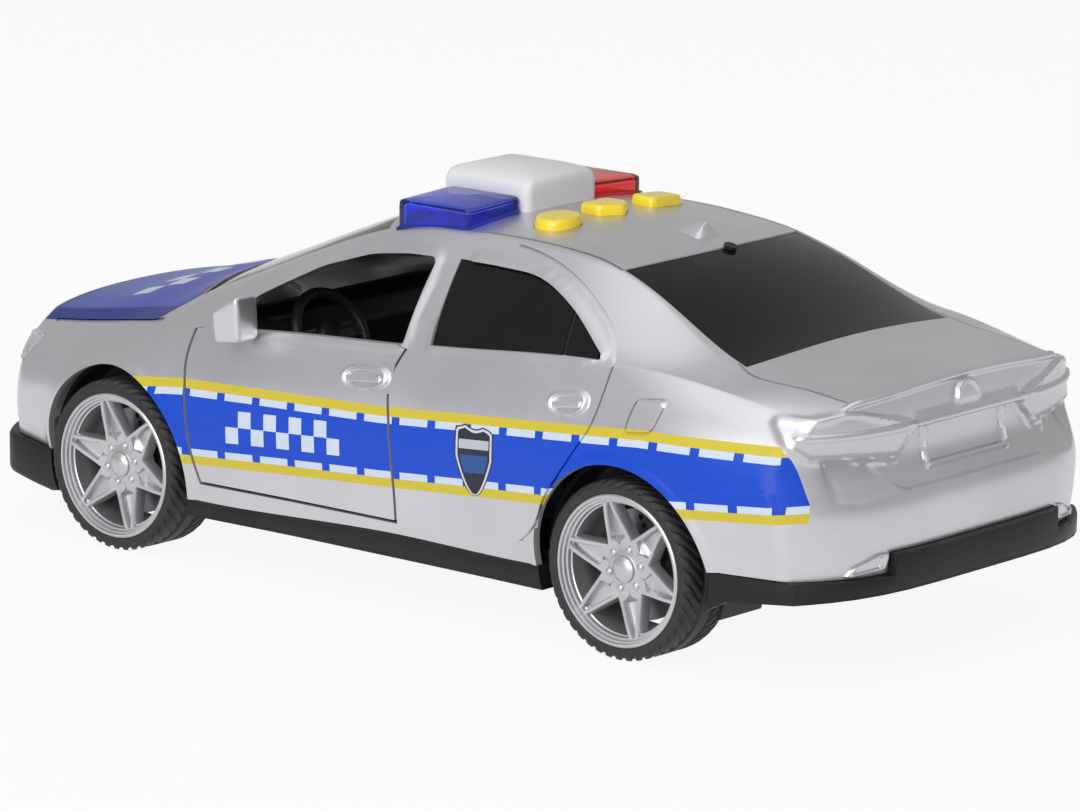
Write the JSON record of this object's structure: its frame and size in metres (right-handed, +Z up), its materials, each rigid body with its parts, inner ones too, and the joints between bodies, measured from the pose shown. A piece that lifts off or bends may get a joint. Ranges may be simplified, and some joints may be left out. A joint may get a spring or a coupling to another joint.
{
  "type": "toy police car",
  "caption": "Toy patrol car: lofted saloon shell on a tray chassis, opening front doors, flywheel friction drive, roof light bar and sprung push buttons for light and sound.",
  "frame": {"origin": "on the ground under the middle of the car's box", "axes": "+X towards the nose, +Y to the car's left, +Z up"},
  "size_m": [0.274, 0.124, 0.0984],
  "materials": {
    "black_plastic": "moulded, fine grain",
    "silver_paint": "silver metallic paint on plastic",
    "smoked_glass": "smoked clear plastic",
    "cabin_plastic": "moulded",
    "clear_lens": "clear faceted plastic",
    "blue_lens": "tinted translucent plastic",
    "red_lens": "tinted translucent plastic",
    "white_lens": "milky plastic",
    "board": "solder mask",
    "led": "clear",
    "speaker": "pressed basket and magnet",
    "cell_steel": "bright",
    "contact_brass": "bright",
    "steel": "bright",
    "gear_plastic": "unfilled moulding",
    "tyre": "matt",
    "rim_silver": "silver paint",
    "disc_silver": "silver paint",
    "button_yellow": "glossy"
  },
  "bodies": {
    "car_body": {"chassis": "black_plastic", "body_shell": "silver_paint", "windscreen": "smoked_glass", "rear_window": "smoked_glass", "left_side_window": "smoked_glass", "right_side_window": "smoked_glass", "seat_tub": "cabin_plastic", "dashboard": "cabin_plastic", "steering_wheel": "cabin_plastic", "left_headlight": "clear_lens", "right_headlight": "clear_lens", "blue_lens": "blue_lens", "white_lens": "white_lens", "red_lens": "red_lens", "circuit_board": "board", "beacon_leds": "led", "speaker": "speaker", "battery_box": "black_plastic", "battery_cells": "cell_steel", "battery_contacts": "contact_brass", "battery_door": "black_plastic", "battery_door_screw": "steel", "chassis_screws": "steel", "rear_window_screw": "steel", "gearbox_case": "gear_plastic", "gearbox_cover": "gear_plastic", "left_hinge_pin": "steel", "right_hinge_pin": "steel"},
    "front_wheels": {"front_axle": "steel", "front_left_tyre": "tyre", "front_left_rim": "rim_silver", "front_left_disc": "disc_silver", "front_right_tyre": "tyre", "front_right_rim": "rim_silver", "front_right_disc": "disc_silver"},
    "rear_wheels": {"rear_axle": "steel", "rear_left_tyre": "tyre", "rear_left_rim": "rim_silver", "rear_left_disc": "disc_silver", "rear_right_tyre": "tyre", "rear_right_rim": "rim_silver", "rear_right_disc": "disc_silver", "axle_gear": "gear_plastic"},
    "idler": {"idler_gear": "gear_plastic"},
    "fly": {"flywheel": "steel"},
    "left_door": {"left_door_skin": "silver_paint", "left_door_trim": "cabin_plastic", "left_mirror": "silver_paint"},
    "right_door": {"right_door_skin": "silver_paint", "right_door_trim": "cabin_plastic", "right_mirror": "silver_paint"},
    "left_push": {"left_button": "button_yellow"},
    "middle_push": {"middle_button": "button_yellow"},
    "right_push": {"right_button": "button_yellow"}
  },
  "joints": [
    {"name": "front_axle_spin", "type": "hinge", "parent": "car_body", "child": "front_wheels", "pos_m": [0.0815, 0, 0.021], "axis": [0, 1, 0], "continuous": true},
    {"name": "rear_axle_spin", "type": "hinge", "parent": "car_body", "child": "rear_wheels", "pos_m": [-0.0775, 0, 0.021], "axis": [0, 1, 0], "continuous": true},
    {"name": "idler_spin", "type": "hinge", "parent": "car_body", "child": "idler", "pos_m": [-0.06895, 0, 0.02411], "axis": [0, 1, 0], "continuous": true},
    {"name": "flywheel_spin", "type": "hinge", "parent": "car_body", "child": "fly", "pos_m": [-0.05943, 0, 0.02855], "axis": [0, 1, 0], "continuous": true},
    {"name": "left_door_hinge", "type": "hinge", "parent": "car_body", "child": "left_door", "pos_m": [0.0432, 0.05438, 0.035], "axis": [0, 0, -1], "range_deg": [0, 60]},
    {"name": "right_door_hinge", "type": "hinge", "parent": "car_body", "child": "right_door", "pos_m": [0.0432, -0.05438, 0.035], "axis": [0, 0, 1], "range_deg": [0, 60]},
    {"name": "left_button_press", "type": "slide", "parent": "car_body", "child": "left_push", "axis": [0, 0, -1], "range_m": [0, 0.0015], "stiffness_N_per_m": 200},
    {"name": "middle_button_press", "type": "slide", "parent": "car_body", "child": "middle_push", "axis": [0, 0, -1], "range_m": [0, 0.0015], "stiffness_N_per_m": 200},
    {"name": "right_button_press", "type": "slide", "parent": "car_body", "child": "right_push", "axis": [0, 0, -1], "range_m": [0, 0.0015], "stiffness_N_per_m": 200}
  ],
  "couplings": [
    {"joint": "idler_spin", "follows": "rear_axle_spin", "ratio": -1.1667},
    {"joint": "flywheel_spin", "follows": "rear_axle_spin", "ratio": 1.75}
  ]
}
